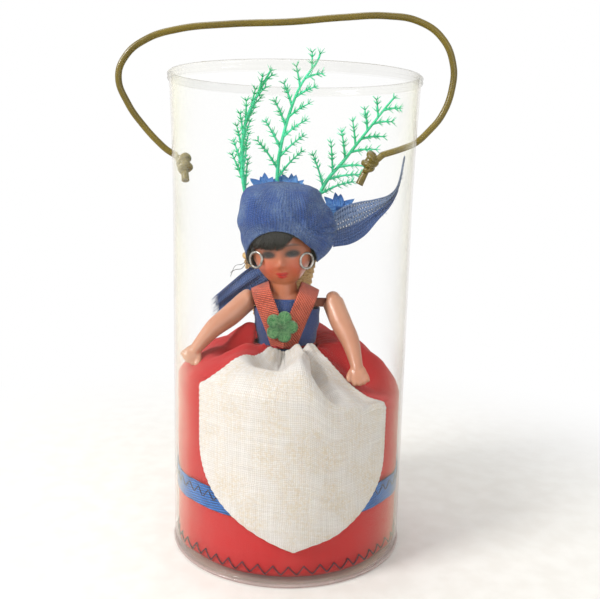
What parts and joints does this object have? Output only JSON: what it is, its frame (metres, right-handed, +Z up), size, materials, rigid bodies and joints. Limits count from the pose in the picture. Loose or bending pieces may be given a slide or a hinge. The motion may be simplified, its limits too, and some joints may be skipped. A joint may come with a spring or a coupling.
{
  "type": "folk costume doll",
  "caption": "Folk costume doll with headscarf, spread skirt, apron and a back basket of ferns, standing in a clear open tube with a knotted cord handle.",
  "frame": {"origin": "middle of the underside of the tube's base, on the table", "axes": "+Z up along the tube's axis; the doll faces -Y; +X is to the right of someone facing the doll"},
  "size_m": [0.1123, 0.0832, 0.1804],
  "materials": {
    "clear_plastic": "clear, slightly yellowed",
    "pvc_cord": "olive gold, semi-gloss",
    "flesh_plastic": "moulded flesh tone, satin",
    "elastic": "brown flat elastic",
    "hair": "black fuzzy fibre",
    "silver_wire": "dull silver wire",
    "blue_cotton": "worn blue cotton",
    "strap_ribbon": "brick-red ribbed ribbon",
    "red_cotton": "plain red cotton",
    "blue_ribbon": "blue ribbed ribbon with dark zigzag stitches",
    "apron_linen": "off-white coarse weave",
    "green_felt": "pressed felt",
    "red_thread": "twisted thread",
    "straw": "woven straw",
    "fern_plastic": "bright green moulded plastic",
    "blue_paper": "blue crepe paper"
  },
  "bodies": {
    "display": {"clear_tube": "clear_plastic", "tube_base": "clear_plastic", "body_front_shell": "flesh_plastic", "body_back_shell": "flesh_plastic", "arm_elastic": "elastic", "hair_wig": "hair", "headscarf_cap": "blue_cotton", "headscarf_tail_right": "blue_cotton", "headscarf_tail_left": "blue_cotton", "bodice": "blue_cotton", "strap_left": "strap_ribbon", "strap_right": "strap_ribbon", "waist_tie": "red_thread", "felt_flower": "green_felt", "skirt": "red_cotton", "skirt_ribbon": "blue_ribbon", "apron": "apron_linen", "back_basket": "straw", "fern_left": "fern_plastic", "fern_middle": "fern_plastic", "fern_right": "fern_plastic", "paper_flower_left": "blue_paper", "paper_flower_middle": "blue_paper", "paper_flower_right": "blue_paper"},
    "handle": {"handle_cord": "pvc_cord", "handle_knot_left": "pvc_cord", "handle_knot_right": "pvc_cord"},
    "left_arm": {"arm_left": "flesh_plastic"},
    "right_arm": {"arm_right": "flesh_plastic"},
    "left_earring": {"earring_left": "silver_wire"},
    "right_earring": {"earring_right": "silver_wire"}
  },
  "joints": [
    {"name": "handle_swing", "type": "hinge", "parent": "display", "child": "handle", "pos_m": [0, 0, 0.1364], "axis": [0.9976, 0, 0.0697], "range_deg": [-42, 42]},
    {"name": "left_arm_turn", "type": "hinge", "parent": "display", "child": "left_arm", "pos_m": [-0.0152, 0, 0.0845], "axis": [-1, 0, 0], "range_deg": [0, 7]},
    {"name": "right_arm_turn", "type": "hinge", "parent": "display", "child": "right_arm", "pos_m": [0.0146, 0, 0.0845], "axis": [-1, 0, 0], "range_deg": [0, 130]},
    {"name": "left_earring_swing", "type": "hinge", "parent": "display", "child": "left_earring", "pos_m": [-0.01184, -0.00687, 0.10195], "axis": [-0.5983, 0.8013, 0], "range_deg": [0, 30]},
    {"name": "right_earring_swing", "type": "hinge", "parent": "display", "child": "right_earring", "pos_m": [0.00504, -0.00687, 0.10195], "axis": [-0.5983, -0.8013, 0], "range_deg": [0, 30]}
  ]
}
